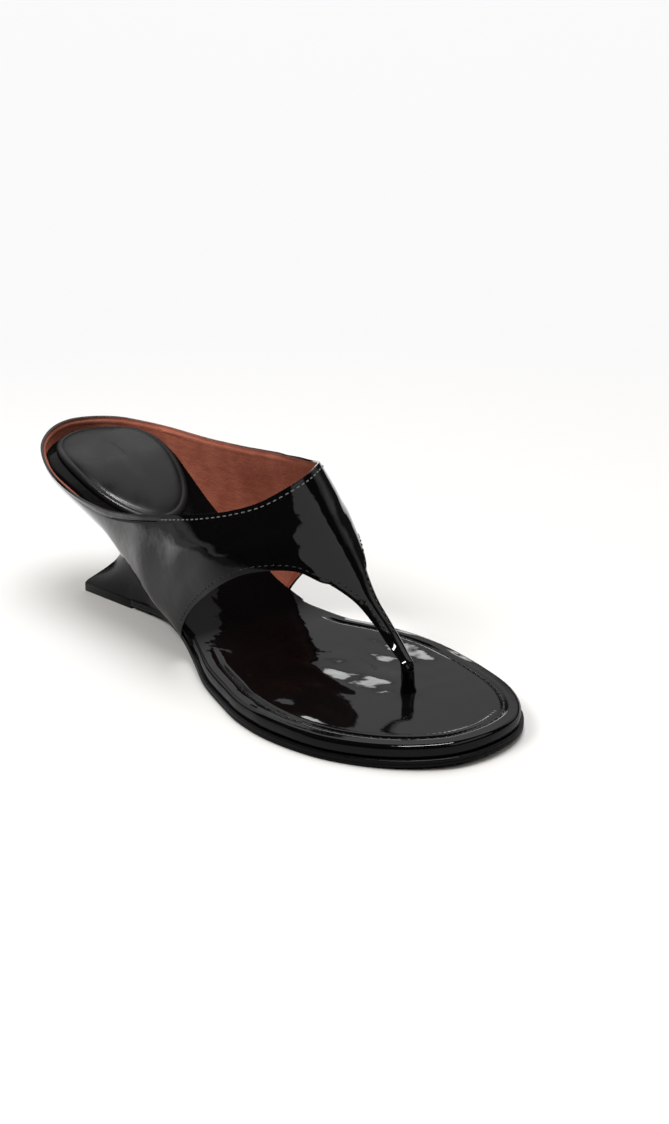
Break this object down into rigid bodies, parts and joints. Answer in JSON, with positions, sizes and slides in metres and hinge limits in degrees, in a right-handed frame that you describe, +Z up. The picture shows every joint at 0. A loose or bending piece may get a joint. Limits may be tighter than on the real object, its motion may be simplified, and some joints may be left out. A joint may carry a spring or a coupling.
{
  "type": "thong mule",
  "caption": "Patent leather thong mule for the right foot with a wide instep band, a low heel collar, a toe post and a sculpted wedge heel on a flared foot.",
  "frame": {"origin": "on the floor, under the middle of the ball of the foot, at the sole_rest mount", "axes": "+X along the shoe towards the toe, +Y to the wearer's left, which is the inner side of this right shoe, +Z up"},
  "size_m": [0.2309, 0.0853, 0.0708],
  "materials": {
    "sole_leather": "smooth black sole leather, half gloss",
    "patent_insole": "black patent leather, mirror gloss",
    "patent_upper": "black patent leather, mirror gloss, red-brown lining",
    "patent_post": "black patent leather, mirror gloss",
    "patent_heel": "black patent leather over a moulded heel",
    "top_lift": "hard black rubber, satin",
    "patent_pad": "black patent leather, padded"
  },
  "bodies": {
    "root": {"outsole": "sole_leather", "insole": "patent_insole", "upper": "patent_upper", "thong_post": "patent_post", "heel": "patent_heel", "top_lift": "top_lift", "heel_pad": "patent_pad"}
  },
  "joints": []
}
